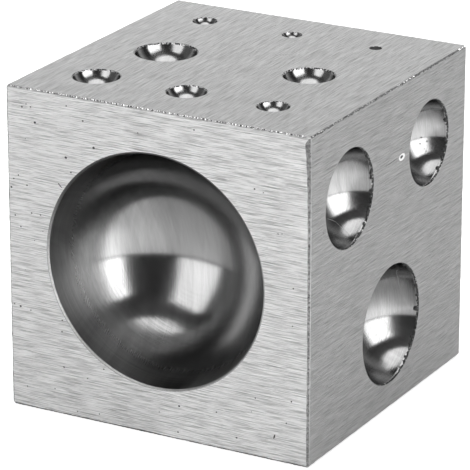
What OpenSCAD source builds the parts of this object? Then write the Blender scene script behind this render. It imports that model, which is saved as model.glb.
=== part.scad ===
// Dapping block: one solid steel cube with round cups of falling size sunk into its six faces.
// A sheet metal disc is laid over a cup and driven in with a ball punch of like size.
// Axes: X to the right, Y to the back, Z up, in millimetres.
// Origin: the middle of the bottom face.

/* [Block] */
// Side of the cube
side = 60; // [60:0.5:80]
// Width that the bevel takes off each of the two faces that meet at an edge
edge_bevel = 0.4; // [0.2:0.1:1.5]
// Distance of the drilling centre line to the left of the middle, on the front and the top
centre_line_left = 0.4; // [-1:0.1:1]

/* [Depth of the cups] */
// Depth of the front face's cup as a share of its mouth's radius, where 1 is a full half ball
front_depth = 0.916; // [0.7:0.002:1]
// The same share for the cups of the other three upright faces
side_depth = 0.81; // [0.7:0.002:1]
// The same share for the cups of the top and bottom faces
level_depth = 0.767; // [0.7:0.002:1]

/* [Front face, one cup] */
// Diameter of the large cup's mouth, inside its rim break
front_d = 42.8; // [30:0.1:45]
// Height of the large cup above the middle of the face
front_rise = 0.4; // [-1:0.1:1]
// Width of the break turned round the large cup's mouth
front_rim_break = 0.2; // [0.1:0.05:0.5]

/* [Top face, eight cups] */
// Distance of the front row from the front edge
top_front_row = 11.6; // [10:0.1:15]
// Distance of the back row from the back edge
top_back_row = 9.8; // [8:0.1:15]
// Distance of the left column from the left edge
top_left_column = 11.5; // [10:0.1:13]
// Distance of the right column from the right edge
top_right_column = 13.4; // [10:0.1:15]
// Diameter of the front row's left cup
top_front_left_d = 8.5; // [5:0.1:12]
// Diameter of the front row's middle cup
top_front_middle_d = 7.2; // [4:0.1:12]
// Diameter of the front row's right cup
top_front_right_d = 5.8; // [3:0.1:12]
// Diameter of the middle row's left cup
top_middle_left_d = 11.3; // [8:0.1:14]
// Distance of the middle row's left cup from the left edge
top_middle_left = 14.9; // [11:0.1:17]
// Diameter of the middle row's right cup
top_middle_right_d = 9.3; // [7:0.1:14]
// Distance of the middle row's right cup from the right edge
top_middle_right = 16.2; // [11:0.1:17]
// Diameter of the back row's left cup
top_back_left_d = 4.6; // [2:0.1:12]
// Diameter of the back row's middle cup
top_back_middle_d = 3.7; // [2:0.1:12]
// Diameter of the back row's right cup
top_back_right_d = 2.3; // [1.5:0.1:12]

/* [Right face, three cups] */
// Gap from the top edge to the rims of both upper cups
right_top_gap = 6.4; // [4:0.1:9]
// Diameter of the upper cup near the front edge
right_front_d = 17.7; // [12:0.1:19]
// Gap from the front edge to that cup's rim
right_front_gap = 5.65; // [4:0.05:8]
// Diameter of the upper cup near the back edge
right_back_d = 15.6; // [12:0.1:18]
// Gap from the back edge to that cup's rim
right_back_gap = 7.05; // [4:0.05:9]
// Diameter of the lower cup
right_lower_d = 22; // [16:0.1:24]
// Gap from the bottom edge to the lower cup's rim
right_bottom_gap = 5; // [3:0.1:7]
// Distance of the lower cup behind the middle of the face
right_lower_back = 1.1; // [-2:0.1:3]

/* [Left face, two cups] */
// Diameter of the upper cup
left_upper_d = 30; // [24:0.5:31]
// Diameter of the lower cup
left_lower_d = 25; // [20:0.5:26]
// Gap from the top and bottom edges to the rims of the cups
left_end_gap = 3.5; // [3:0.1:5]
// Gap from the front and back edges to the rims of the cups
left_side_gap = 5.5; // [5:0.1:7]

/* [Back face, four cups] */
// Distance of both rows from the top and bottom edges
back_row = 15.5; // [14:0.1:18]
// Distance of both columns from the left and right edges
back_column = 15.5; // [14:0.1:17]
// Diameter of the lower cup near the left face
back_lower_left_d = 20; // [14:0.1:22]
// Diameter of the lower cup near the right face
back_lower_right_d = 19; // [14:0.1:22]
// Diameter of the upper cup near the right face
back_upper_right_d = 16.5; // [12:0.1:18]
// Diameter of the upper cup near the left face
back_upper_left_d = 14.4; // [12:0.1:17]

/* [Bottom face, six cups] */
// Distance of both rows from the front and back edges
bottom_row = 15; // [13:0.1:17]
// Distance of the outer columns from the left and right edges
bottom_column = 12; // [10:0.1:14]
// Diameter of the back row's left cup
bottom_back_left_d = 13.4; // [9:0.1:14]
// Diameter of the back row's middle cup
bottom_back_middle_d = 12.4; // [9:0.1:14]
// Diameter of the back row's right cup
bottom_back_right_d = 10.3; // [7:0.1:14]
// Diameter of the front row's left cup
bottom_front_left_d = 6.5; // [4:0.1:9]
// Diameter of the front row's middle cup
bottom_front_middle_d = 5.2; // [3:0.1:9]
// Diameter of the front row's right cup
bottom_front_right_d = 3; // [2:0.1:9]

/* [Hidden] */
$fn = 96;
steel = [0.72, 0.72, 0.73];
half = side / 2;

// Each cup is [diameter, place to the right, place upwards], seen square on from outside,
// counted from the middle of its face.
TOP_CUPS = [
    [top_front_left_d, top_left_column - half, top_front_row - half],
    [top_front_middle_d, -centre_line_left, top_front_row - half],
    [top_front_right_d, half - top_right_column, top_front_row - half],
    [top_middle_left_d, top_middle_left - half, 0],
    [top_middle_right_d, half - top_middle_right, 0],
    [top_back_left_d, top_left_column - half, half - top_back_row],
    [top_back_middle_d, -centre_line_left, half - top_back_row],
    [top_back_right_d, half - top_right_column, half - top_back_row],
];
RIGHT_CUPS = [
    [right_front_d, right_front_gap + right_front_d / 2 - half, half - right_top_gap - right_front_d / 2],
    [right_back_d, half - right_back_gap - right_back_d / 2, half - right_top_gap - right_back_d / 2],
    [right_lower_d, right_lower_back, right_bottom_gap + right_lower_d / 2 - half],
];
// From outside, the left face has the back edge on its left
LEFT_CUPS = [
    [left_upper_d, left_side_gap + left_upper_d / 2 - half, half - left_end_gap - left_upper_d / 2],
    [left_lower_d, half - left_side_gap - left_lower_d / 2, left_end_gap + left_lower_d / 2 - half],
];
// From outside, the back face has the block's right face on its left
BACK_CUPS = [
    [back_lower_left_d, half - back_column, back_row - half],
    [back_lower_right_d, back_column - half, back_row - half],
    [back_upper_right_d, back_column - half, half - back_row],
    [back_upper_left_d, half - back_column, half - back_row],
];
// From below, with the left edge on the left, the front edge is at the top
BOTTOM_CUPS = [
    [bottom_back_left_d, bottom_column - half, bottom_row - half],
    [bottom_back_middle_d, 0, bottom_row - half],
    [bottom_back_right_d, half - bottom_column, bottom_row - half],
    [bottom_front_left_d, bottom_column - half, half - bottom_row],
    [bottom_front_middle_d, 0, half - bottom_row],
    [bottom_front_right_d, half - bottom_column, half - bottom_row],
];

// The frames of the faces: X to the right and Y upwards on the face, Z out of the block
module on_front() translate([0, -half, half]) rotate([90, 0, 0]) children();
module on_right() translate([half, 0, half]) rotate([90, 0, 90]) children();
module on_back() translate([0, half, half]) rotate([90, 0, 180]) children();
module on_left() translate([-half, 0, half]) rotate([90, 0, -90]) children();
module on_top() translate([0, 0, side]) children();
module on_bottom() rotate([180, 0, 0]) children();

// The square of a face with its corners cut off, as a bar along Z through the whole block
module bevelled_bar() {
    inner = half - edge_bevel;
    linear_extrude(height = side, center = true)
        polygon([
            [-inner, -half], [inner, -half], [half, -inner], [half, inner],
            [inner, half], [-inner, half], [-half, inner], [-half, -inner],
        ]);
}

// The cube with all twelve edges bevelled: what three crossing bars have in common
module bevelled_cube() {
    translate([0, 0, half])
        intersection() {
            bevelled_bar();
            rotate([90, 0, 0]) bevelled_bar();
            rotate([0, 90, 0]) bevelled_bar();
        }
}

// The ball that sinks a cup with a mouth of diameter d: its centre lies a little outside the face
module ball(d, depth_share) {
    mouth_r = d / 2;
    depth = depth_share * mouth_r;
    ball_r = (mouth_r * mouth_r + depth * depth) / (2 * depth);
    translate([0, 0, ball_r - depth]) sphere(r = ball_r);
}

// The balls of all the cups of one face
module balls(cups, depth_share) {
    for (cup = cups)
        translate([cup[1], cup[2], 0]) ball(cup[0], depth_share);
}

// The large cup, with a cone at 45 degrees that breaks the sharp edge of its mouth
module large_ball() {
    translate([-centre_line_left, front_rise, 0]) {
        ball(front_d, front_depth);
        translate([0, 0, -2 * front_rim_break])
            cylinder(
                h = 3 * front_rim_break,
                r1 = front_d / 2 - front_rim_break,
                r2 = front_d / 2 + 2 * front_rim_break
            );
    }
}

module block() {
    color(steel)
        difference() {
            bevelled_cube();
            on_front() large_ball();
            on_top() balls(TOP_CUPS, level_depth);
            on_right() balls(RIGHT_CUPS, side_depth);
            on_left() balls(LEFT_CUPS, side_depth);
            on_back() balls(BACK_CUPS, side_depth);
            on_bottom() balls(BOTTOM_CUPS, level_depth);
        }
}

block();
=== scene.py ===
# %% [markdown]
# # A dapping block in ground and polished steel
#
# A dapping block is a steel cube with round cups sunk into its faces. A disc of sheet metal is
# laid over a cup and driven in with a ball punch, which domes it. The real block is one piece, so
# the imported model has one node. This lesson dresses it: the same cube and cups with a fine mesh,
# edges as the grinder leaves them, and steel that is ground, polished or raw.

import math
import random
from collections import namedtuple
from functools import partial

import bmesh
import bpy
import numpy as np
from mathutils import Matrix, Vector, geometry, noise


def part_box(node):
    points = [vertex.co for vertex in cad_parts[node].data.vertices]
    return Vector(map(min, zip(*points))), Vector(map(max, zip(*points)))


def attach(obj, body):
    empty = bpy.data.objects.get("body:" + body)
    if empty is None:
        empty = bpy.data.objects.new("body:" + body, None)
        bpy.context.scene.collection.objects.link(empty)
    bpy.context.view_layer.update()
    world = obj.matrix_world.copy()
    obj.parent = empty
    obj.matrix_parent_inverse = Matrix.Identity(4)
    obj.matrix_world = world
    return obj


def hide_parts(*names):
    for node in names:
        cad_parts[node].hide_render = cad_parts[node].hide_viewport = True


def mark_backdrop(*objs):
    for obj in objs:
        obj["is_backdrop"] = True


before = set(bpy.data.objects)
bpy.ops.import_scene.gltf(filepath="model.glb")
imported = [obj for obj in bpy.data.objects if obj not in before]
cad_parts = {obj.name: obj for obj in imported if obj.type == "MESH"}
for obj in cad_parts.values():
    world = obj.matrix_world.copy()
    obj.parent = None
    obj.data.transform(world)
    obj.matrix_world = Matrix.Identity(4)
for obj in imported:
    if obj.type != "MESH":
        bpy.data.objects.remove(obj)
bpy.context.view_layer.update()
MM = 0.001
X, Y, Z = Vector((1, 0, 0)), Vector((0, 1, 0)), Vector((0, 0, 1))

# %% [markdown]
# ## The camera
#
# The photograph is taken with a long lens from a little above. A camera fitted to the block's
# corners gives the angles, the distance and the lens. Blender's camera looks along its own -Z.

# %% Place the camera
CAMERA_TURN = math.radians(28.98)  # to the right of straight in front
CAMERA_RISE = math.radians(20.036)  # above level
CAMERA_DISTANCE = 640.3 * MM
CAMERA_AIM = Vector((-0.455, -1.037, 28.12)) * MM
CAMERA_LENS = 273.2


def new_object(name, data):
    made = bpy.data.objects.new(name, data)
    bpy.context.scene.collection.objects.link(made)
    return made


level = math.cos(CAMERA_RISE)
towards_camera = Vector((math.sin(CAMERA_TURN) * level, -math.cos(CAMERA_TURN) * level,
                         math.sin(CAMERA_RISE)))
camera = new_object("camera", bpy.data.cameras.new("camera"))
camera.data.sensor_width = 36
camera.data.lens = CAMERA_LENS
camera.data.clip_start = 0.01
camera.location = CAMERA_AIM + CAMERA_DISTANCE * towards_camera
camera.rotation_euler = (-towards_camera).to_track_quat("-Z", "Y").to_euler()
bpy.context.scene.camera = camera
bpy.context.scene.view_settings.view_transform = "Standard"
print("camera at", tuple(round(v, 4) for v in camera.location))

# %% [markdown]
# ## Small helpers for node trees
#
# Every finish and every Geometry Nodes tree is wired in the script. These helpers keep that
# short: they add a node and fill its sockets, and do arithmetic on numbers and vectors.


# %% Node helpers
def add_node(tree, kind, settings=None, **inputs):
    """A new node; settings are its own properties, inputs are sockets by name with spaces as _."""
    made = tree.nodes.new(kind)
    for key, value in (settings or {}).items():
        setattr(made, key, value)
    for key, value in inputs.items():
        fill(made.inputs[key.replace("_", " ")], value)
    return made


def fill(socket, value):
    """Links an output to a socket, or gives the socket a plain value."""
    if isinstance(value, bpy.types.NodeSocket):
        socket.id_data.links.new(value, socket)
    else:
        socket.default_value = value


def node_out(*words, **inputs):
    """The first output of a new node."""
    return add_node(*words, **inputs).outputs[0]


def by_order(tree, kind, settings, *values):
    """A new node whose sockets are filled in their order."""
    made = add_node(tree, kind, settings)
    for socket, value in zip(made.inputs, values):
        fill(socket, value)
    return made.outputs


def calc(operation, *values, clamp=False):
    """Arithmetic on numbers, of which at least one is another node's output."""
    tree = next(value.id_data for value in values if isinstance(value, bpy.types.NodeSocket))
    settings = {"operation": operation, "use_clamp": clamp}
    return by_order(tree, "ShaderNodeMath", settings, *values)[0]


plus, minus, times, over, times_plus = (
    partial(calc, name) for name in ("ADD", "SUBTRACT", "MULTIPLY", "DIVIDE", "MULTIPLY_ADD"))


def weighted(base, *parts):
    """The base plus every part times its weight."""
    for part, weight in parts:
        base = times_plus(part, weight, base)
    return base


def vector_calc(operation, *values):
    """Arithmetic on vectors, of which the first is another node's output."""
    outputs = by_order(values[0].id_data, "ShaderNodeVectorMath", {"operation": operation}, *values)
    return outputs["Value" if operation in ("LENGTH", "DOT_PRODUCT") else "Vector"]


def parts_of(vector):
    """The X, Y and Z of a vector."""
    return add_node(vector.id_data, "ShaderNodeSeparateXYZ", Vector=vector).outputs


def own_spot(tree):
    """The place on the object itself."""
    return add_node(tree, "ShaderNodeTexCoord").outputs["Object"]


def backfacing(tree):
    return add_node(tree, "ShaderNodeNewGeometry").outputs["Backfacing"]


def ramp(value, start, end, low=0.0, high=1.0, smooth=False):
    """Goes from low to high while the value goes from start to end, and no further."""
    kind = {"interpolation_type": "SMOOTHSTEP" if smooth else "LINEAR"}
    return node_out(value.id_data, "ShaderNodeMapRange", kind, Value=value,
                    From_Min=start, From_Max=end, To_Min=low, To_Max=high)


def grey(value):
    """One number as a colour."""
    return node_out(value.id_data, "ShaderNodeCombineColor", Red=value, Green=value, Blue=value)


# %% [markdown]
# ## The studio
#
# Polished steel shows the room more than itself, so the room comes first. The large cup mirrors
# it: a tall soft box on each side of the camera, a faint reflector to the left, a wide round box
# overhead, and a room that is dark behind the camera and pale behind the block. The camera
# doesn't see the boxes and the room, so they never hide the block in a view from another side.


# %% Stage materials
def emission_material(name):
    material = bpy.data.materials.new(name)
    material.use_nodes = True
    tree = material.node_tree
    tree.nodes.clear()
    glow = add_node(tree, "ShaderNodeEmission")
    output = add_node(tree, "ShaderNodeOutputMaterial", Surface=glow.outputs[0])
    return material, tree, glow, output


def soft_box(name, centre, target, width, height, radiance, soft_edge, disc=False):
    """A glowing panel that faces target, its light falling off over soft_edge at its border."""
    half_w, half_h = width / 2, height / 2
    mesh = bpy.data.meshes.new(name)
    corners = [(x * half_w, y * half_h, 0) for x, y in ((-1, -1), (1, -1), (1, 1), (-1, 1))]
    mesh.from_pydata(corners, [], [(0, 1, 2, 3)])
    panel = new_object(name, mesh)
    panel.location = centre
    panel.rotation_euler = (target - centre).to_track_quat("Z", "Y").to_euler()
    material, tree, glow, output = emission_material(name)
    spot = own_spot(tree)
    place = parts_of(spot)
    from_middle = [(vector_calc("LENGTH", spot), half_w)] if disc else [
        (calc("ABSOLUTE", place["X"]), half_w), (calc("ABSOLUTE", place["Y"]), half_h)]
    fade = minus(1.0, backfacing(tree))
    for distance, half in from_middle:
        fade = times(fade, ramp(minus(half, distance), 0.0, soft_edge, smooth=True))
    fill(glow.inputs["Strength"], times(fade, radiance))
    clear = add_node(tree, "ShaderNodeBsdfTransparent", Color=grey(minus(1.0, fade)))
    both = by_order(tree, "ShaderNodeAddShader", None, clear.outputs[0], glow.outputs[0])
    fill(output.inputs["Surface"], both[0])
    mesh.materials.append(material)
    panel.visible_camera = False
    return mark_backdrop(panel)


# %% Soft boxes
def around_block(turn, rise_height, distance):
    """A point at that turn from straight in front, to the right, seen from the block."""
    turn = math.radians(turn)
    return Vector((math.sin(turn) * distance, -math.cos(turn) * distance, rise_height))


BOX_DISTANCE = 1.2
CUP_MIDDLE = Vector((0, -0.025, 0.03))
STANDING_BOXES = [  # name; turn, spread, bottom, top in degrees from the cup; radiance, soft edge
    ("soft_box_left", -19.5, 45, -1.0, 44.5, 2.5, 0.07),
    ("soft_box_right", 79.5, 57, -2.5, 41, 3.72, 0.13),
    ("reflector_left", -66, 40, -4, 38, 0.2, 0.07),
]
OVERHEAD = Vector((0, -0.01, BOX_DISTANCE))
OVERHEAD_WIDTH, OVERHEAD_RADIANCE, OVERHEAD_EDGE = 1.46, 2.4, 0.09

for name, turn, spread, bottom, top, radiance, soft_edge in STANDING_BOXES:
    low_z, high_z = (BOX_DISTANCE * math.tan(math.radians(v)) for v in (bottom, top))
    centre = CUP_MIDDLE + around_block(turn, (low_z + high_z) / 2, BOX_DISTANCE)
    width = 2 * BOX_DISTANCE * math.tan(math.radians(spread / 2))
    soft_box(name, centre, Vector((*CUP_MIDDLE.xy, centre.z)), width, high_z - low_z, radiance,
             soft_edge)
soft_box("soft_box_overhead", OVERHEAD, Vector((*OVERHEAD.xy, 0)), OVERHEAD_WIDTH,
         OVERHEAD_WIDTH, OVERHEAD_RADIANCE, OVERHEAD_EDGE, disc=True)
print("soft boxes stand", BOX_DISTANCE, "m from the block")

# %% [markdown]
# The room is a large ball, seen from inside. Its brightness depends on the direction alone. Under
# the floor it is pale, which only the block's underside sees.

# %% The room
ROOM_RADIUS = 2.5
ROOM_DARK = 0.044  # everywhere, and the parts below on top of it
AWAY = (-math.sin(CAMERA_TURN), math.cos(CAMERA_TURN), 0)
ROOM_PARTS = [  # towards, from and to which cosine it grows, and how bright
    (AWAY, 0.05, 0.8, 0.95),
    ((0, 0, 1), 0.55, 0.9, 0.11),
    ((0, 0, -1), 0.1, 0.5, 0.6),
]
room_mesh = bpy.data.meshes.new("room")
shell = bmesh.new()
bmesh.ops.create_uvsphere(shell, u_segments=48, v_segments=24, radius=ROOM_RADIUS)
bmesh.ops.reverse_faces(shell, faces=shell.faces)
shell.to_mesh(room_mesh)
shell.free()
room = new_object("room", room_mesh)
material, tree, glow, _ = emission_material("room")
direction = vector_calc("NORMALIZE", own_spot(tree))
brightness = ROOM_DARK
for towards, start, end, radiance in ROOM_PARTS:
    part = ramp(vector_calc("DOT_PRODUCT", direction, towards), start, end, 0.0, radiance,
                smooth=True)
    brightness = plus(brightness, part)
fill(glow.inputs["Strength"], brightness)
room_mesh.materials.append(material)
room.visible_camera = False

world = bpy.data.worlds.new("studio")
world.use_nodes = True
background = world.node_tree.nodes["Background"].inputs
background["Color"].default_value = (1, 1, 1, 1)
background["Strength"].default_value = 1.0
bpy.context.scene.world = world
print("room", ROOM_RADIUS, "m")

# %% [markdown]
# The soft boxes light the floor to a mid grey, and the photograph's background is white, so the
# floor glows for the camera as well. For mirror rays it glows towards three sides, where the
# photograph's cups mirror a bright floor, and less so near the block. It is clear from below, and
# a ray too short to leave the gap under the block passes it, so the underside can be looked at.

# %% The floor
FLOOR_RADIUS = 2.4
FLOOR_PALE = 0.62
FLOOR_ROUGHNESS, FLOOR_IOR = 0.4, 1.42
CAMERA_LIFT = 0.7
MIRROR_LIFTS = [  # turn, from and to which cosine it grows, strength; its share near the block, a painted shadow, and how far
    (40, 0.64, 0.95, 0.55, 0.55, 0.12),
    (197, 0.2, 0.9, 0.6, 0.5, 0.1),
    (84, 0.62, 0.95, 0.95, 0.1, 0.09),
]
NEAR = 0.03  # from the block's middle
FLOOR_GAP = 0.02 * MM  # under the block, so that the two never coincide
SHORT_RAY = 0.06 * MM

floor_mesh = bpy.data.meshes.new("floor")
disc = bmesh.new()
bmesh.ops.create_circle(disc, cap_ends=True, segments=64, radius=FLOOR_RADIUS)
disc.to_mesh(floor_mesh)
disc.free()
floor = new_object("floor", floor_mesh)
floor.location.z = -FLOOR_GAP
material, tree, glow, output = emission_material("floor")
paper = add_node(tree, "ShaderNodeBsdfPrincipled", Base_Color=(FLOOR_PALE,) * 3 + (1,),
                 Roughness=FLOOR_ROUGHNESS, IOR=FLOOR_IOR)
ray = add_node(tree, "ShaderNodeLightPath").outputs
spot = own_spot(tree)
far_off = vector_calc("LENGTH", spot)
way = vector_calc("NORMALIZE", vector_calc("SUBTRACT", spot, (0, CUP_MIDDLE.y, 0)))
mirror_lift = 0.0
# The glow is weaker near the block: a painted shadow of the block on the floor.
for turn, start, end, strength, near_shadow_share, far in MIRROR_LIFTS:
    aligned = vector_calc("DOT_PRODUCT", way, around_block(turn, 0, 1))
    part = times(ramp(aligned, start, end, 0.0, strength, smooth=True),
                 ramp(far_off, NEAR, far, near_shadow_share, 1.0, smooth=True))
    mirror_lift = calc("MAXIMUM", mirror_lift, part)
mirror_rays = plus(ray["Is Glossy Ray"], ray["Is Transmission Ray"], clamp=True)
lift = plus(times(mirror_rays, mirror_lift), times(ray["Is Camera Ray"], CAMERA_LIFT))
fill(glow.inputs["Strength"], lift)
both = by_order(tree, "ShaderNodeAddShader", None, paper.outputs[0], glow.outputs[0])
from_below = times(ray["Is Camera Ray"], backfacing(tree))
short = calc("LESS_THAN", ray["Ray Length"], SHORT_RAY)
clear = node_out(tree, "ShaderNodeBsdfTransparent")
shown = by_order(tree, "ShaderNodeMixShader", None, calc("MAXIMUM", from_below, short), both[0],
                 clear)
fill(output.inputs["Surface"], shown[0])
floor_mesh.materials.append(material)
print("floor", FLOOR_RADIUS, "m")

# %% [markdown]
# ## The block's plan
#
# Each face has its own frame, as seen square on from outside. Its cups are listed in that frame,
# in millimetres, as the mouth's diameter and the place of its centre. These are the packed
# model's own sizes.

# %% Faces and cups
SIDE = 60 * MM
HALF = SIDE / 2
BEVEL = 0.4 * MM
MIDDLE = Z * HALF

FACES = {  # right, up, outwards, and the way that the grinding marks run
    "front": (X, Z, -Y, X),
    "right": (Y, Z, X, Y),
    "back": (-X, Z, Y, X),
    "left": (-Y, Z, -X, Y),
    "top": (X, Y, Z, Y),
    "bottom": (X, -Y, -Z, Y),
}
CUPS = {  # diameter, right, up
    "front": [(42.8, -0.4, 0.4)],
    "right": [(17.7, -15.5, 14.75), (15.6, 15.15, 15.8), (22, 1.1, -14)],
    "back": [(20, 14.5, -14.5), (19, -14.5, -14.5), (16.5, -14.5, 14.5), (14.4, 14.5, 14.5)],
    "left": [(30, -9.5, 11.5), (25, 12, -14)],
    "top": [(8.5, -18.5, -18.4), (7.2, -0.4, -18.4), (5.8, 16.6, -18.4), (11.3, -15.1, 0),
            (9.3, 13.8, 0), (4.6, -18.5, 20.2), (3.7, -0.4, 20.2), (2.3, 16.6, 20.2)],
    "bottom": [(13.4, -18, -15), (12.4, 0, -15), (10.3, 18, -15), (6.5, -18, 15),
               (5.2, 0, 15), (3, 18, 15)],
}


def on_face(face, right, up):
    """A point on a face, from its place in that face's frame."""
    to_right, to_up, outwards, _ = FACES[face]
    return MIDDLE + outwards * HALF + to_right * right + to_up * up


low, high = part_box("block")
print("cups", sum(len(cups) for cups in CUPS.values()), "node", tuple(low), tuple(high))

# %% [markdown]
# ## Finishes
#
# The steel is one metal in different states. Two more finishes are near-black steel in the pits, a
# painted shade, and chalk round a ding. Grinding leaves marks in one direction. Most are finer than
# a pixel and act as an anisotropic gloss, and the coarse ones show as long thin streaks. Streaks
# are noise, drawn out along a map called lay, in millimetres: V runs along the marks, U across.


# %% Steel helpers
def steel(name, tone, roughness, anisotropy=0.0, edge_tint=1.0):
    material = bpy.data.materials.new(name)
    material.use_nodes = True
    tree = material.node_tree
    shader = tree.nodes["Principled BSDF"]
    for socket, value in {
        "Base Color": (tone,) * 3 + (1,), "Metallic": 1.0, "Roughness": roughness,
        "Anisotropic": anisotropy, "Specular Tint": (edge_tint,) * 3 + (1,),
    }.items():
        fill(shader.inputs[socket], value)
    return material, tree, shader


def streaks(tree, across, along, wave, offset=0.0, detail=2.0):
    """Noise around 0 that is drawn out along the lay, by its frequencies per millimetre."""
    lay = node_out(tree, "ShaderNodeUVMap", {"uv_map": "lay"})
    spread = node_out(tree, "ShaderNodeMapping", Vector=lay, Location=(offset, offset, 0),
                      Scale=(across, along, 1))
    lines = node_out(tree, "ShaderNodeTexNoise", {"noise_dimensions": "2D"}, Vector=spread,
                     Scale=1.0, Detail=detail, Roughness=0.6, Distortion=wave)
    return minus(lines, 0.5)


def ridge(wave, width):
    """Thin lines, 1 along the middle, where a wave around 0 changes its sign."""
    return minus(1.0, over(calc("ABSOLUTE", wave), width), clamp=True)


def specks(tree, per_mm, detail=1.0):
    """Noise from 0 to 1 without direction, on the object's own coordinates."""
    return node_out(tree, "ShaderNodeTexNoise", Vector=own_spot(tree), Scale=per_mm / MM,
                    Detail=detail)


def own_attribute(tree, name, output="Fac"):
    return add_node(tree, "ShaderNodeAttribute",
                    {"attribute_type": "GEOMETRY", "attribute_name": name}).outputs[output]


def toned(shader, value):
    """Lets a number be the grey of a finish."""
    fill(shader.inputs["Base Color"], grey(value))


def bumped(shader, height, strength, size):
    """Dents in a finish, their size in millimetres."""
    bump = node_out(shader.id_data, "ShaderNodeBump", Strength=strength, Distance=size * MM,
                    Height=height)
    fill(shader.inputs["Normal"], bump)


def along_lay(shader):
    """Lets the gloss of a finish spread across the marks."""
    tangent = node_out(shader.id_data, "ShaderNodeTangent",
                       {"direction_type": "UV_MAP", "uv_map": "lay"})
    fill(shader.inputs["Tangent"], tangent)


# %% [markdown]
# The ground flats are the lightest. An attribute called grain says how strongly a face shows its
# marks: the front is the coarsest. Another, called tone, darkens each face to the grey it shows
# under this light, and falls off a little over a visible face: painted shade.

# %% Ground steel
GROUND_GREY, GROUND_ROUGHNESS = 0.85, 0.64
MARKS_CONTRAST = 0.68  # as a share of the grey

ground, tree, shader = steel("ground_steel", GROUND_GREY, GROUND_ROUGHNESS, 0.8)
grain = own_attribute(tree, "grain")
coarse = streaks(tree, 4.4, 0.12, 0.06, detail=1.0)
fine = streaks(tree, 6.2, 0.2, 0.06, offset=37.0, detail=1.0)
ridges = ridge(streaks(tree, 2.2, 0.11, 0.5, offset=53.0), 0.07)
grooves = ridge(streaks(tree, 2.4, 0.12, 0.5, offset=71.0), 0.06)
cloud = minus(specks(tree, 0.25, 2.0), 0.5)
marks = weighted(0.0, (coarse, 0.9), (fine, 1.8), (ridges, 0.26), (grooves, -0.24))
marks = times(marks, grain)
tone = weighted(GROUND_GREY, (marks, GROUND_GREY * MARKS_CONTRAST))
tone = times_plus(cloud, 0.08, tone, clamp=True)
# The tone attribute is painted shade: it darkens each ground face to how light that face looks
# under this light.
toned(shader, times(tone, own_attribute(tree, "tone")))
fill(shader.inputs["Roughness"], times_plus(fine, 0.15, GROUND_ROUGHNESS, clamp=True))
bumped(shader, marks, 1.0, 0.22)
along_lay(shader)

# %% [markdown]
# Polishing leaves steep strokes down a cup's wall and, near its mouth, marks that run round. An
# attribute called turning holds the way round as a direction and the share of the way out to the
# mouth, so marks can follow it without a seam. Towards the mouth the polish is duller, and the wall
# is painted darker, most of all above and below, and lighter at the sides partway out: painted
# shade and light. An attribute called dull says how much of both.

# %% Polished steel
POLISH_GREY = 0.318


def polish(name, roughness, anisotropy):
    material, tree, shader = steel(name, POLISH_GREY, roughness, anisotropy, edge_tint=0.6)
    turning = own_attribute(tree, "turning", "Vector")
    dull = own_attribute(tree, "dull")
    parts = parts_of(turning)
    near_mouth = ramp(parts["Z"], 0.55, 0.98, 0.0, dull, smooth=True)
    outer = ramp(parts["Z"], 0.25, 0.6)
    steepness = times(parts["Y"], parts["Y"])
    # Painted shade and light: the wall's grey is darker above and below and lighter at the sides.
    wall_shade = times(times(outer, dull), weighted(0.1, (steepness, -0.165)))
    wall_shade = weighted(wall_shade, (near_mouth, weighted(-0.09, (steepness, 0.11))))

    strokes = streaks(tree, 5.5, 0.4, 0.3)
    smear = streaks(tree, 0.7, 0.09, 0.4, offset=19.0)
    around = node_out(tree, "ShaderNodeMapping", Vector=turning, Scale=(2.5, 2.5, 90.0))
    round_marks = node_out(tree, "ShaderNodeTexNoise", Vector=around, Scale=1.0, Detail=2.0)
    round_marks = times(minus(round_marks, 0.5), outer)
    rough = weighted(roughness, (near_mouth, 0.17))
    fill(shader.inputs["Roughness"], times_plus(strokes, 0.06, rough, clamp=True))
    toned(shader, weighted(plus(wall_shade, POLISH_GREY), (strokes, 0.05), (smear, 0.12),
                           (round_marks, 0.15)))
    bumped(shader, plus(strokes, round_marks), 0.22, 0.02)
    along_lay(shader)
    return material


polished = polish("polished_steel", 0.155, 0.7)
stroked = polish("stroked_steel", 0.165, 0.85)

# %% [markdown]
# A bevel stays dark and pitted. Metal pushed over an edge is burnished bright in a thin line, which
# is painted darker round the upper half of the large cup: painted shade. The break round a smaller
# mouth has dark specks and bright ones, and an attribute called ragged says how many are dark. The
# pit finish is near-black steel, a painted shade in the pits, the smallest hole, the ding and some
# crumbs, and other crumbs are bright chips of steel.

# %% Raw, burnished, mouth and pit steel
raw, tree, shader = steel("raw_steel", 0.2, 0.38)
toned(shader, ramp(specks(tree, 2.6, 2.0), 0.3, 0.65, 0.09, 0.3))
bumped(shader, specks(tree, 5.0, 2.0), 0.5, 0.03)

burnished, tree, shader = steel("burnished_steel", 0.9, 0.5)
turning = own_attribute(tree, "turning", "Vector")
# Painted shade: the lip is darker round its upper half, most on the large cup.
upper = times_plus(parts_of(turning)["Y"], 1.6, 0.1, clamp=True)
upper = times(upper, own_attribute(tree, "dull"))
tone = ramp(specks(tree, 3.0, 2.0), 0.35, 0.6, 0.36, 0.46)
toned(shader, times(tone, weighted(1.0, (upper, -0.75))))
bumped(shader, specks(tree, 4.0), 0.1, 0.02)

mouth, tree, shader = steel("mouth_steel", 0.45, 0.4)
dark_end = weighted(0.38, (own_attribute(tree, "ragged"), 0.2))
toned(shader, ramp(specks(tree, 3.2), dark_end, plus(dark_end, 0.1), 0.03, 0.75))
bumped(shader, specks(tree, 6.0), 0.4, 0.03)

# Near black: painted shade for the pits, the smallest hole, the ding and the dark crumbs.
pit, tree, shader = steel("pit_steel", 0.08, 0.7)
toned(shader, weighted(0.02, (specks(tree, 8.0), 0.14)))
bumped(shader, specks(tree, 12.0), 0.5, 0.02)

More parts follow.
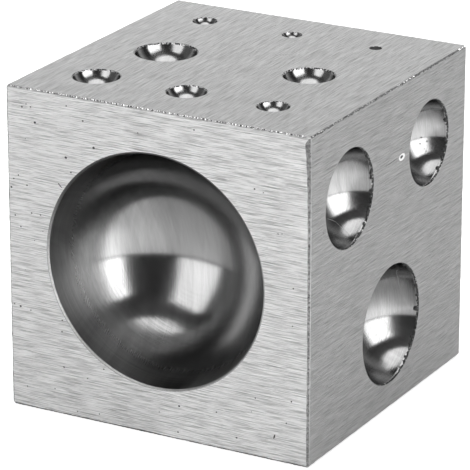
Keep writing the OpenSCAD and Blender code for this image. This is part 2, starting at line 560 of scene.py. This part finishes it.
chalk, tree, shader = steel("polishing_chalk", 0.9, 0.9)
fill(shader.inputs["Metallic"], 0.0)
toned(shader, times_plus(specks(tree, 9.0), 0.3, 0.75, clamp=True))

crumb, tree, shader = steel("crumb_steel", 0.95, 0.25)
toned(shader, times_plus(specks(tree, 7.0), 0.2, 0.85, clamp=True))

FINISHES = [ground, polished, raw, burnished, mouth, pit, chalk, crumb, stroked]
GROUND, RAW, BURNISHED = (FINISHES.index(finish) for finish in (ground, raw, burnished))
print("finishes", [finish.name for finish in FINISHES])

# %% [markdown]
# ## Cups by Geometry Nodes
#
# A cup is part of a ball with a narrow break at the mouth. All cups follow one rule, so Geometry
# Nodes draw them. A flat grid becomes a bowl with a mouth radius of 1: along the grid is the way
# round, across it is the way down, from a thin burnished lip over the break to the bottom. The
# bowl is then placed on a point and scaled. Pits, scratches and dings are small bowls too.


# %% The bowl tree
def geometry_tree(name, **sockets):
    """A tree from mesh to mesh with sockets, listed by their kind, and what it is given."""
    tree = bpy.data.node_groups.new(name, "GeometryNodeTree")
    for kind, names in {"Geometry": "Geometry", **sockets}.items():
        for socket in names.split(", "):
            tree.interface.new_socket(socket, in_out="INPUT", socket_type="NodeSocket" + kind)
    tree.interface.new_socket("Geometry", in_out="OUTPUT", socket_type="NodeSocketGeometry")
    return tree, tree.nodes.new("NodeGroupInput").outputs


def named(tree, name, kind="FLOAT"):
    return node_out(tree, "GeometryNodeInputNamedAttribute", {"data_type": kind}, Name=name)


def on_points(tree, points, shape, rotation, size):
    """The shape on every point, as plain mesh."""
    placed = node_out(tree, "GeometryNodeInstanceOnPoints", Points=points, Instance=shape,
                      Rotation=rotation, Scale=size)
    return node_out(tree, "GeometryNodeRealizeInstances", Geometry=placed)


def end_tree(tree, shape, finish):
    done = node_out(tree, "GeometryNodeSetMaterial", Geometry=shape, Material=finish)
    add_node(tree, "NodeGroupOutput", Geometry=done)
    return tree


def run_tree(tree, base, **values):
    """The plain mesh that a tree makes of base. Inputs are named with _ for spaces."""
    carrier = new_object(base.name, base)
    modifier = carrier.modifiers.new("nodes", "NODES")
    modifier.node_group = tree
    for item in tree.interface.items_tree:
        key = item.name.replace(" ", "_")
        if item.in_out == "INPUT" and key in values:
            modifier[item.identifier] = values[key]
    evaluated = carrier.evaluated_get(bpy.context.evaluated_depsgraph_get())
    made = bpy.data.meshes.new_from_object(evaluated)
    bpy.data.objects.remove(carrier)
    return made


tree, given = geometry_tree(
    "sunk_bowls", Int="Segments, Rings", Material="Bowl finish, Break finish, Lip finish",
    Float="Depth share, Break share, Flare, Lip share, Beads, Ragged, Dull")
segments, rings, depth, edge = (
    given[name] for name in ("Segments", "Rings", "Depth share", "Break share"))
grid = add_node(tree, "GeometryNodeMeshGrid", Size_X=1.0, Size_Y=1.0,
                Vertices_X=plus(segments, 1.0), Vertices_Y=plus(rings, 1.0))
place = parts_of(node_out(tree, "GeometryNodeInputPosition"))
way_round = times(plus(place["X"], 0.5), 2 * math.pi)
ring = times(plus(place["Y"], 0.5), rings)
to_side, to_top = calc("COSINE", way_round), calc("SINE", way_round)

# The ball: its radius, and how far outside the face its centre lies
ball = over(plus(times(depth, depth), 1.0), times(depth, 2.0))
outside = minus(ball, depth)
start = calc("ARCCOSINE", over(plus(outside, edge), ball))
done = over(minus(ring, 2.0), minus(rings, 2.0), clamp=True)
outwards = minus(1.0, done)

# Ring 0 is the lip's outer edge, 1 the break's, and 2 its ragged inner edge
beads = node_out(tree, "ShaderNodeCombineXYZ", X=to_side, Y=to_top, Z=given["Beads"])
chips = node_out(tree, "ShaderNodeTexNoise", Scale=given["Beads"], Detail=1.0, Vector=beads)
chips = times(minus(chips, 0.5), given["Ragged"])
chips = times(chips, calc("COMPARE", ring, 2.0, 0.5))
angle = minus(times(start, outwards), times(chips, edge))
on_flat = calc("LESS_THAN", ring, 1.5)
at_lip = calc("LESS_THAN", ring, 0.5)
edge_radius = times_plus(edge, given["Flare"], 1.0)
edge_radius = times_plus(at_lip, given["Lip share"], edge_radius)
radius = node_out(tree, "ShaderNodeMix", {"data_type": "FLOAT"}, Factor=on_flat,
                  A=times(ball, calc("SINE", angle)), B=edge_radius)
below = times(minus(times(ball, calc("COSINE", angle)), outside), minus(on_flat, 1.0))
position = node_out(tree, "ShaderNodeCombineXYZ", X=times(radius, to_side),
                    Y=times(radius, to_top), Z=below)

shape = grid.outputs["Mesh"]
turning = node_out(tree, "ShaderNodeCombineXYZ", X=to_side, Y=to_top, Z=outwards)
stored = {"rim": at_lip, "turning": turning, "ragged": given["Ragged"],
          "dull": given["Dull"], "band": ring}
for name, value in stored.items():
    settings = {"data_type": "FLOAT_VECTOR" if name == "turning" else "FLOAT",
                "domain": "FACE" if name == "band" else "POINT"}
    shape = node_out(tree, "GeometryNodeStoreNamedAttribute", settings, Geometry=shape,
                     Name=name, Value=value)
bent = node_out(tree, "GeometryNodeSetPosition", Geometry=shape, Position=position)
closed = node_out(tree, "GeometryNodeMergeByDistance", Geometry=bent, Distance=1e-5)
turned = node_out(
    tree, "FunctionNodeAxesToRotation", {"primary_axis": "Z", "secondary_axis": "X"},
    Primary_Axis=named(tree, "outwards", "FLOAT_VECTOR"),
    Secondary_Axis=named(tree, "lengthways", "FLOAT_VECTOR"))
shape = on_points(tree, given["Geometry"], closed, turned, named(tree, "size", "FLOAT_VECTOR"))
band = named(tree, "band")
bands = ("Bowl finish", 2.0, 1e6), ("Break finish", 1.0, 2.0), ("Lip finish", 0.0, 1.0)
for finish, least, most in bands:
    here = times(calc("GREATER_THAN", band, least), calc("LESS_THAN", band, most))
    shape = node_out(tree, "GeometryNodeSetMaterial", Geometry=shape, Selection=here,
                     Material=given[finish])
add_node(tree, "NodeGroupOutput", Geometry=shape)
BOWLS = tree

# %% [markdown]
# The block grows in one bmesh. Each piece that a tree makes is gathered into it with its
# finishes. A bowl's record says where it is and how long and wide it is from its middle.

# %% Gather bowls
Bowl = namedtuple("Bowl", "number face length width right up turn")
bowls = []
block = bmesh.new()


def mark(face, length, width, right, up, turn=0.0):
    """Lists a bowl, from millimetres and degrees."""
    bowls.append(Bowl(len(bowls), face, length * MM, width * MM, right * MM, up * MM,
                      math.radians(turn)))
    return bowls[-1]


def gather(mesh):
    """Adds a mesh to the block and keeps its finishes."""
    slots = np.array([FINISHES.index(finish) if finish else 0 for finish in mesh.materials])
    local = np.zeros(len(mesh.polygons), np.int32)
    mesh.polygons.foreach_get("material_index", local)
    mesh.polygons.foreach_set("material_index", slots[local].astype(np.int32))
    block.from_mesh(mesh)
    return len(mesh.polygons)


def sink(name, chosen, **shape):
    """Sinks bowls into the block, all of one shape."""
    mesh = bpy.data.meshes.new(name)
    mesh.from_pydata([on_face(b.face, b.right, b.up) for b in chosen], [], [])
    for attribute, values in {
        "size": [(b.length, b.width, b.width) for b in chosen],
        "outwards": [FACES[b.face][2] for b in chosen],
        "lengthways": [FACES[b.face][0] * math.cos(b.turn) + FACES[b.face][1] * math.sin(b.turn)
                       for b in chosen],
    }.items():
        made = mesh.attributes.new(attribute, "FLOAT_VECTOR", "POINT")
        made.data.foreach_set("vector", np.array(values).ravel())
    numbers = mesh.attributes.new("number", "INT", "POINT")
    numbers.data.foreach_set("value", [b.number for b in chosen])
    print(name, len(chosen), "with", gather(run_tree(BOWLS, mesh, **shape)), "faces")


# %% [markdown]
# A large cup needs a finer mesh than a small one to mirror the room smoothly, and the three
# visible faces are finer than the others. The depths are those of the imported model. The small
# breaks and the lips round the mouths stand only here.

# %% Make the cups
CUP_LOOKS = {  # depth, in mouth radii; mesh size along the mouth, in millimetres; ragged; dull, which also sets the painted shade of the wall and the lip
    "front": (0.916, 0.42, 0.0, 1.0),
    "right": (0.81, 0.36, 1.0, 0.1),
    "back": (0.81, 0.9, 0.6, 0.4),
    "left": (0.81, 0.9, 0.6, 0.5),
    "top": (0.767, 0.36, 0.5, 0.1),
    "bottom": (0.767, 0.9, 0.6, 0.2),
}
CUP_BREAK = {"front": (0.3 * MM, 0.75)}  # depth, and how far out for its depth
OTHER_BREAK = (0.28 * MM, 0.4)
CUP_LIP = 0.13 * MM
SMALL_CUP = 6 * MM  # a smaller mouth has a narrower break and lip
MOST_RINGS = 64
DARK_HOLE_RADIUS = 1.3 * MM  # a mouth below this radius gets the near-black pit finish: painted shade in a deep hole
BEAD = 0.5 * MM

for face, (depth_share, mesh_size, ragged, dull) in CUP_LOOKS.items():
    for diameter, right, up in CUPS[face]:
        cup = mark(face, diameter / 2, diameter / 2, right, up)
        radius = cup.length
        narrow = min(1, radius / SMALL_CUP)
        segments = max(32, round(2 * math.pi * radius / (mesh_size * MM)))
        rings = max(12, round(segments * (0.24 if face == "front" else 0.28)))
        depth, flare = CUP_BREAK.get(face, OTHER_BREAK)
        finish = pit if radius < DARK_HOLE_RADIUS else stroked if face == "right" else polished
        sink(f"{face}_cup_{diameter}", [cup], Segments=segments, Rings=min(rings, MOST_RINGS),
             Depth_share=depth_share, Break_share=depth * narrow / radius, Flare=flare,
             Lip_share=CUP_LIP * narrow / radius, Beads=radius / BEAD, Ragged=ragged, Dull=dull,
             Bowl_finish=finish, Break_finish=burnished if face == "front" else mouth,
             Lip_finish=burnished)

# %% [markdown]
# Listed are the photograph's clearest pits and scratches, its ding and a few more scratches. The
# other pits are scattered from a fixed seed, away from the mouths and the edges.

# %% Make the pits and scratches
FRONT_PITS = [  # radius, right, up, in millimetres
    (0.15, -26.67, 26.4), (0.13, -24.89, 26.64), (0.1, -25.82, 27.04), (0.13, -17.62, 27.97),
    (0.19, -24.07, 23.93), (0.14, -14.35, 25.77), (0.11, -3.37, 25.38), (0.2, -12.24, 21.24),
    (0.2, -17.9, 18.54), (0.14, -16.91, 15.96), (0.12, -27.7, 13.71), (0.12, -28.67, 12.9),
    (0.13, -25.97, 12.1), (0.16, -29.2, 11.25), (0.13, -25.13, 7.1), (0.12, -23.3, 7.05),
    (0.13, -28.53, 6.14), (0.12, -27.42, 4.17), (0.13, 7.67, 27.68),
    (0.17, -27.84, -10.89), (0.12, -29.1, -10.67), (0.1, -25.7, -11.25), (0.12, -19.2, -11.97),
    (0.13, -19.3, -14.13), (0.14, -19, -20.79), (0.11, -14.16, -22.01), (0.12, -10.8, -19.6),
    (0.12, -26.74, -26), (0.1, -20.96, -25.32), (0.1, -16.35, -28.8), (0.1, -11.83, -28.34),
    (0.15, 4.45, -23.52), (0.1, 0.44, -25.43), (0.12, 11.9, -23.13), (0.14, 4.2, -28.49),
    (0.15, 15.9, -27.1), (0.11, 19.58, -18.95), (0.13, 26.61, -18.19), (0.12, 25.66, -22.4),
    (0.14, 19.36, 19.1), (0.1, 21.04, 18.75), (0.11, 23.87, 11.84), (0.09, 24.63, 11.97),
    (0.12, 26.86, 2.55), (0.11, 26.72, -4.34),
]
SCRATCHES = [  # face, half length, half width, right, up, turn in degrees
    ("front", 0.56, 0.09, -19.18, 13.2, -44),
    ("right", 2.3, 0.05, 0.24, 16.53, 2),
    ("front", 0.4, 0.13, 23.32, -25.38, 72),
    ("top", 1.6, 0.05, 4.0, 8.5, 35),
    ("left", 2.6, 0.06, -12.0, -8.0, 60),
    ("back", 2.2, 0.06, 1.0, 0.5, -35),
]
DING = ("right", 0.75, 0.4, 4.34, 16.33)
PITS_PER_FACE = {"front": 6, "right": 12, "top": 10, "left": 26, "back": 24, "bottom": 26}
PIT_RADII = (0.06, 0.07, 0.08, 0.1, 0.12)
PIT_LENGTH, PIT_WIDTH = 1.15, 0.95  # of a listed radius
SCATTER_REACH = 28.8  # from the middle of a face, in millimetres
CLEAR = 1.0 * MM  # between a scattered pit and other marks

first_mark = len(bowls)
for radius, right, up in FRONT_PITS:
    mark("front", radius * PIT_LENGTH, radius * PIT_WIDTH, right, up)
for scratch in SCRATCHES:
    mark(*scratch)
draw = random.Random(7)
for face, wanted in PITS_PER_FACE.items():
    made = 0
    while made < wanted:
        right, up = (draw.uniform(-SCATTER_REACH, SCATTER_REACH) for _ in range(2))
        radius = draw.choice(PIT_RADII)
        if all(math.hypot(right * MM - b.right, up * MM - b.up) > b.length + CLEAR
               for b in bowls if b.face == face):
            mark(face, radius, radius, right, up)
            made += 1
sink("pits_and_scratches", bowls[first_mark:], Segments=10, Rings=5, Depth_share=0.7,
     Break_share=0.12, Flare=0.4, Lip_share=0.12, Beads=3.0, Ragged=0.5, Bowl_finish=pit,
     Break_finish=pit, Lip_finish=mouth)
sink("ding", [mark(*DING)], Segments=24, Rings=8, Depth_share=0.35, Break_share=0.2, Flare=0.4,
     Lip_share=0.5, Beads=4.0, Ragged=1.0, Bowl_finish=pit, Break_finish=chalk, Lip_finish=chalk)

# %% [markdown]
# ## Burrs by Geometry Nodes
#
# Where a wheel or a cutter left an edge, crumbs of steel cling to it. A tree sets a faceted
# pebble on each point of a line, turned by a seed. The points lie inside the block's outline, so
# a crumb only stands proud of the bevel or the break, never of a face.

# %% The burr tree
tree, given = geometry_tree("edge_burrs", Int="Seed", Material="Finish")
pebble = add_node(tree, "GeometryNodeMeshIcoSphere", Radius=1.0, Subdivisions=1)
turn = add_node(tree, "FunctionNodeRandomValue", {"data_type": "FLOAT_VECTOR"},
                Seed=given["Seed"], Min=(0, 0, 0), Max=(6.28, 6.28, 6.28))
shape = on_points(tree, given["Geometry"], pebble.outputs["Mesh"], turn.outputs["Value"],
                  named(tree, "size"))
BURRS = end_tree(tree, shape, given["Finish"])


def set_burrs(name, places, finish, seed):
    """Burrs at places, each (position, radius), in metres."""
    mesh = bpy.data.meshes.new(name)
    mesh.from_pydata([place for place, _ in places], [], [])
    mesh.attributes.new("size", "FLOAT", "POINT").data.foreach_set(
        "value", [radius for _, radius in places])
    made = gather(run_tree(BURRS, mesh, Seed=seed, Finish=finish))
    print(name, len(places), "burrs,", made, "faces")


# %% Burrs on the edges
def edge_burrs(n1, n2, along, start, end, gap, radii):
    """Burrs on the edge between two faces, from start to end in millimetres from its middle."""
    places = []
    spot = start
    while spot < end:
        radius = draw.uniform(*radii) * MM
        inside = HALF - radius
        places.append((MIDDLE + n1 * inside + n2 * inside + along * spot * MM, radius))
        spot += gap * draw.uniform(0.5, 1.5)
    return places


# Burrs in the pit finish are near black: painted shade among the crumbs.
EDGE_BURRS = [  # name, two faces, along; stretches of start, end, gap and radii; finish, seed
    ("top_front_edge", (-Y, Z, X), [(-29, 29, 0.5, (0.11, 0.19))], crumb, 1),
    ("top_front_gaps", (-Y, Z, X), [(-29, 29, 0.9, (0.1, 0.16))], pit, 6),
    ("top_right_edge", (Z, X, Y), [(-29, 0, 0.9, (0.06, 0.16))], mouth, 2),
    ("top_right_chips", (Z, X, Y),
     [(2.5, 9, 0.7, (0.08, 0.16)), (27, 29.4, 0.3, (0.12, 0.2))], crumb, 7),
    ("front_right_edge", (X, -Y, Z), [(-28, 28, 0.8, (0.1, 0.15))], raw, 3),
]
draw = random.Random(11)
for name, edge, stretches, finish, seed in EDGE_BURRS:
    places = [place for stretch in stretches for place in edge_burrs(*edge, *stretch)]
    set_burrs(name, places, finish, seed)


# %% Burrs on the mouths
def on_mouth(bowl, turn, out):
    """A place on the bowl's face, at a turn from right towards up and that far from its middle."""
    around = math.radians(turn)
    return on_face(bowl.face, bowl.right + out * math.cos(around), bowl.up + out * math.sin(around))


def mouth_burrs(bowl, gap, radii, arc):
    """Burrs on a cup's break, over an arc in degrees from right, turning towards up."""
    places = []
    turn = arc[0]
    while turn < arc[1]:
        radius = (radii[0] + (radii[1] - radii[0]) * draw.random() ** 3) * MM
        spot = on_mouth(bowl, turn, bowl.length + draw.uniform(-0.06, 0.02) * MM)
        places.append((spot - FACES[bowl.face][2] * (radius + draw.uniform(0, 0.12) * MM), radius))
        turn += math.degrees(gap * MM / bowl.length) * draw.uniform(0.4, 1.6)
    return places


dark, light = [], []
for bowl in bowls:
    if bowl.face == "right" and bowl.length > 6 * MM:
        dark += mouth_burrs(bowl, 0.36, (0.12, 0.4), (-70, 62))
        light += mouth_burrs(bowl, 0.9, (0.07, 0.14), (-75, 40))
    elif bowl.face == "top" and bowl.length > 2 * MM:
        dark += mouth_burrs(bowl, 0.7, (0.05, 0.1), (20, 160))
        light += mouth_burrs(bowl, 1.3, (0.05, 0.08), (20, 160))
CHIPS = [(1, 15.6, 0.42), (1, -54, 0.4), (1, 32, 0.3), (2, -4, 0.5), (0, -33, 0.3)]
CHIP_INSIDE, CHIP_SUNK = 0.12, 0.02
right_cups = [bowl for bowl in bowls if bowl.face == "right"][:len(CUPS["right"])]
for order, turn, radius in CHIPS:  # larger chips: the right face's cup, the way round, radius
    bowl = right_cups[order]
    spot = on_mouth(bowl, turn, bowl.length - CHIP_INSIDE * MM)
    dark.append((spot - X * (radius + CHIP_SUNK) * MM, radius * MM))
# The dark mouth burrs take the pit finish: painted shade.
set_burrs("mouths_dark", dark, pit, 4)
set_burrs("mouths_light", light, burnished, 5)

# %% [markdown]
# Two scores and a few specks in the walls of the right face's cups are the photograph's. A score
# is a thin tube, half sunk into the wall under the places given on the flat face.


# %% Scores and specks on the walls
def on_wall(bowl, right, up):
    """The place on a cup's wall under that place on its face, in millimetres."""
    share = CUP_LOOKS[bowl.face][0]
    ball = bowl.length * (share * share + 1) / (2 * share)
    offset = math.hypot(right * MM - bowl.right, up * MM - bowl.up)
    depth = math.sqrt(ball * ball - offset * offset) - (ball - share * bowl.length)
    return on_face(bowl.face, right * MM, up * MM) - FACES[bowl.face][2] * depth


tree, given = geometry_tree("score_lines", Float="Width", Material="Finish")
path = node_out(tree, "GeometryNodeMeshToCurve", Mesh=given["Geometry"])
section = node_out(tree, "GeometryNodeCurvePrimitiveCircle", Resolution=5, Radius=given["Width"])
tube = node_out(tree, "GeometryNodeCurveToMesh", Curve=path, Profile_Curve=section, Fill_Caps=True)
real = node_out(tree, "GeometryNodeRealizeInstances", Geometry=tube)
SCORES = end_tree(tree, real, given["Finish"])

SCORES_ON_WALL = [  # the right face's cup, half width, and places along the score
    (2, 0.05, [(7.95, -6.44), (9.37, -8.42), (10.2, -10.17), (10.6, -11.26)]),
    (0, 0.025, [(-13.6, 9.56), (-12.53, 8.92), (-12.27, 7.55), (-12.68, 6.6)]),
]
SPECKS_ON_WALL = [(20.47, 14.54), (21.08, 13.79), (20.38, 12.55), (20.42, 12.13), (20.07, 13.47)]
STEPS_PER_SPAN = 6
for order, half_width, places in SCORES_ON_WALL:
    line = []
    for (r1, u1), (r2, u2) in zip(places, places[1:]):
        for step in range(STEPS_PER_SPAN):
            share = step / STEPS_PER_SPAN
            right = r1 + (r2 - r1) * share + draw.uniform(-0.02, 0.02)
            line.append(on_wall(right_cups[order], right, u1 + (u2 - u1) * share))
    mesh = bpy.data.meshes.new("score")
    mesh.from_pydata(line, [(i, i + 1) for i in range(len(line) - 1)], [])
    made = run_tree(SCORES, mesh, Width=half_width * MM, Finish=burnished)
    print("score", len(line), "points", gather(made), "faces")
set_burrs("wall_specks", [(on_wall(right_cups[1], *place), draw.uniform(0.1, 0.17) * MM)
                          for place in SPECKS_ON_WALL], pit, 8)

# %% [markdown]
# ## The edges
#
# A ground bevel is never quite straight: its two borders wander and its surface is lumpy. Each
# edge is a strip of small quads between the borders on its two faces, moved by smooth noise, and
# three strips meet in a small facet at a corner. The visible edges differ: the one over the front
# is narrow and beaded, the one down the front widens towards its top, and the one along the top
# is thin, with teeth.

# %% Bevel strips
EDGE_STEPS = 240
STRIP_ROWS = 4
Edge = namedtuple("Edge", "width_1 width_2 teeth_1 teeth_2 lumps finish burr_row",
                  defaults=(0.4, 0.4, 0.06, 0.06, 0.07, RAW, None))  # millimetres
EDGES = {  # by the two faces, in the order in which the strips are made
    ("front", "top"): Edge(0.36, 0.36, 0.06, 0.06, 0.08, BURNISHED),
    ("top", "right"): Edge(0.28, 0.3, 0.05, 0.3, burr_row=0),
    ("right", "front"): Edge(0.4, 0.46, 0.05, 0.05, 0.04, burr_row=0),
    ("right", "back"): Edge(burr_row=0),
    ("top", "left"): Edge(burr_row=0),
}
# The widening at the top of the edge down the front: how much, how far down, and its upper end
FLARE, FLARE_LENGTH, FLARE_END = 0.75, 5.5, 1.1

corner_points = {}
borders = {face: [] for face in FACES}


def shared_vertex(position):
    key = tuple(round(v / (0.001 * MM)) for v in position)
    if key not in corner_points:
        corner_points[key] = block.verts.new(position)
    return corner_points[key]


def wander(step, seed, length):
    return noise.noise(Vector((step * length, seed * 7.3, 0.5)))


def face_of(outwards):
    return next(name for name, values in FACES.items() if (values[2] - outwards).length < 0.1)


def border_place(step, seed, width, teeth):
    """How far a bevel reaches over a face there, in metres. Its two ends are always BEVEL."""
    loose = min(1, min(step, EDGE_STEPS - step) / 3)
    out = wander(step, seed, 0.19) * 0.06 + wander(step, seed + 40, 0.8) * teeth
    return BEVEL + loose * ((width + out) * MM - BEVEL)


def bevel_strip(number, along, n1, n2):
    """The strip of one edge, between its borders on the faces n1 and n2."""
    names = face_of(n1), face_of(n2)
    edge = EDGES.get(names, Edge())
    rows = [[] for _ in range(STRIP_ROWS + 1)]
    for step in range(EDGE_STEPS + 1):
        place = (HALF - BEVEL) * (2 * step / EDGE_STEPS - 1)
        reach_1 = border_place(step, number, edge.width_1, edge.teeth_1)
        reach_2 = border_place(step, number + 80, edge.width_2, edge.teeth_2)
        if names == ("right", "front"):
            from_top = (HALF - BEVEL - place) / MM
            reach_2 += (FLARE * MM * math.exp(-from_top / FLARE_LENGTH)
                        * min(1, from_top / FLARE_END))
        border_1 = n1 * HALF + n2 * (HALF - reach_1)
        border_2 = n2 * HALF + n1 * (HALF - reach_2)
        for row, line in enumerate(rows):
            spot = border_1.lerp(border_2, row / STRIP_ROWS)
            if 0 < row < STRIP_ROWS:
                lump = noise.noise(Vector((step * 0.55, row * 1.7, number * 3.1)))
                spot -= (n1 + n2) * edge.lumps * MM * max(0, 0.3 - lump)
            spot += MIDDLE + along * place
            at_corner = step in (0, EDGE_STEPS) and row in (0, STRIP_ROWS)
            line.append(shared_vertex(spot) if at_corner else block.verts.new(spot))
    for row, (low_line, high_line) in enumerate(zip(rows, rows[1:])):
        finish = BURNISHED if row == edge.burr_row else edge.finish
        for corners in zip(low_line, low_line[1:], high_line[1:], high_line):
            block.faces.new(corners).material_index = finish
    for face, line in zip(names, (rows[0], rows[-1])):
        borders[face] += line
    for step, sign in ((0, -1), (EDGE_STEPS, 1)):
        corner = tuple(round(v) for v in n1 + n2 + along * sign)
        corner_strips.setdefault(corner, []).append([line[step] for line in rows])


corner_strips = {}
ways = [(along, first * sign_1, second * sign_2) for along, first, second in
        ((X, Y, Z), (Y, Z, X), (Z, X, Y)) for sign_1 in (-1, 1) for sign_2 in (-1, 1)]
for number, way in enumerate(ways, start=1):
    bevel_strip(number, *way)
for corner, strips in corner_strips.items():
    centre = sum((v.co for strip in strips for v in strip), Vector()) / (3 * (STRIP_ROWS + 1))
    hub = block.verts.new(centre)
    for strip in strips:
        for a, b in zip(strip, strip[1:]):
            block.faces.new((a, b, hub)).material_index = BURNISHED
print("edges", len(ways), "corners", len(corner_strips))

# %% [markdown]
# ## The flat faces
#
# A flat face is one sheet with a ragged outline and round holes, which the bevels and the cups
# join point for point. A constrained triangulation gets these as closed loops, and the triangles
# that fall inside a hole are left out.


# %% Fill the flat faces
def in_loop(point, loop):
    """Even-odd test of a 2D point against a closed loop."""
    ax, ay = loop[:, 0], loop[:, 1]
    bx, by = np.roll(ax, -1), np.roll(ay, -1)
    crosses = (ay > point[1]) != (by > point[1])
    with np.errstate(divide="ignore", invalid="ignore"):
        where = (bx - ax) * (point[1] - ay) / (by - ay) + ax
    return bool(np.count_nonzero(crosses & (point[0] < where)) % 2)


def fill_face(face):
    to_right, to_up, outwards, _ = FACES[face]
    flat = lambda v: Vector(((v.co - MIDDLE).dot(to_right), (v.co - MIDDLE).dot(to_up)))
    loops = [(list(dict.fromkeys(borders[face])), Vector((0, 0)))]
    loops += [(rims[b.number], Vector((b.right, b.up))) for b in bowls if b.face == face]
    verts, owner, edges, outlines = [], [], [], []
    for index, (loop, centre) in enumerate(loops):
        loop.sort(key=lambda v: math.atan2(*(flat(v) - centre).yx))
        first = len(verts)
        edges += [(first + i, first + (i + 1) % len(loop)) for i in range(len(loop))]
        verts += loop
        owner += [index] * len(loop)
        outlines.append(np.array([tuple(flat(v) / MM) for v in loop]))
    points = [flat(v) / MM for v in verts]
    result = geometry.delaunay_2d_cdt(points, edges, [], 1, 1e-6)
    made = []
    for triangle in result[2]:
        ids = [result[3][i][0] for i in triangle]
        owners = {owner[i] for i in ids}
        if len(owners) == 1:
            index = owners.pop()
            centre = sum((points[i] for i in ids), Vector((0, 0))) / 3
            if in_loop(centre, outlines[index]) != (index == 0):
                continue
        made.append(block.faces.new([verts[i] for i in ids]))
    return made


rim_layer = block.verts.layers.float["rim"]
number_layer = block.verts.layers.int["number"]
rims = {}
for vertex in block.verts:
    if vertex[rim_layer] > 0.5:
        rims.setdefault(vertex[number_layer], []).append(vertex)
flat_faces = {face: fill_face(face) for face in FACES}
print("flat faces", {face: len(made) for face, made in flat_faces.items()})

# %% [markdown]
# ## One closed mesh
#
# The parts share their border points, so nothing has to be stitched. Each face gets its lay, and
# edges sharper than 30 degrees stay crisp. A flat face also gets its grain, and a tone that makes
# it as light as in the photograph, which falls off a little over a visible face: painted shade and
# light, not the steel's own grey.

# %% Finish the mesh
LAY_GAP = 90.0  # between two faces on the map, so that no two share a pattern
STROKE_TURN = math.radians(-78)  # the way of the polishing strokes, from right
FACE_LOOKS = {  # grain; tone, a painted shade; and its fall from the middle to the right and to the upper edge, painted light
    "front": (1.0, 0.98, -0.04, 0.045),
    "right": (0.65, 0.585, -0.01, 0.02),
    "back": (0.8, 0.68, 0, 0),
    "left": (0.6, 0.68, 0, 0),
    "top": (0.75, 0.785, -0.033, 0.042),
    "bottom": (0.6, 0.68, 0, 0),
}
EDGE_LAY = Vector((1, 0.7, 0)), Vector((0, 0.3, 1))  # for the bevels
LAY_STEP = 41  # from one cup to the next

bmesh.ops.recalc_face_normals(block, faces=block.faces)
lay = block.loops.layers.uv.new("lay")
block.verts.layers.float.new("grain")
face_shade_layer = block.verts.layers.float.new("tone")
grain_layer = block.verts.layers.float["grain"]
number_layer = block.verts.layers.int["number"]
turning_layer = block.verts.layers.float_vector["turning"]
for vertex in block.verts:
    vertex[face_shade_layer] = 1.0
for order, (face, made_faces) in enumerate(flat_faces.items()):
    to_right, to_up, outwards, along = FACES[face]
    across = outwards.cross(along)
    grain, tone, fall_right, fall_up = FACE_LOOKS[face]
    for made in made_faces:
        for loop in made.loops:
            spot = (loop.vert.co - MIDDLE) / MM
            loop[lay].uv = (spot.dot(across) + LAY_GAP * order, spot.dot(along))
            loop.vert[grain_layer] = grain
            # Painted light and shade: the tone falls towards the right and rises towards the upper
            # edge.
            shade_shift = (fall_right * spot.dot(to_right) + fall_up * spot.dot(to_up)) * MM / HALF
            loop.vert[face_shade_layer] = tone * (1 + shade_shift)

stroke_right, stroke_up = math.cos(STROKE_TURN), math.sin(STROKE_TURN)
for made in block.faces:
    made.smooth = True
    if made.material_index == GROUND:
        continue
    number = made.verts[0][number_layer]
    if made.material_index in (RAW, BURNISHED) and not made.verts[0][turning_layer].length:
        to_right, to_up = EDGE_LAY
    else:
        to_right, to_up = FACES[bowls[number].face][:2]
    for loop in made.loops:
        spot = (loop.vert.co - MIDDLE) / MM
        right, up = spot.dot(to_right), spot.dot(to_up)
        loop[lay].uv = (up * stroke_right - right * stroke_up + LAY_STEP * number,
                        right * stroke_right + up * stroke_up)

block_mesh = bpy.data.meshes.new("dapping_block")
open_edges = sum(1 for edge in block.edges if not edge.is_manifold)
block.to_mesh(block_mesh)
block.free()
block_mesh.set_sharp_from_angle(angle=math.radians(30))
for finish in FINISHES:
    block_mesh.materials.append(finish)
dapping_block = new_object("dapping_block", block_mesh)
print("triangles", sum(len(p.vertices) - 2 for p in block_mesh.polygons), "open edges", open_edges)

# %% [markdown]
# ## Hand over
#
# The dressed block rides on the model's one body and stands for its one node.

# %% Ride, replace and finish
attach(dapping_block, "root")
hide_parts("block")
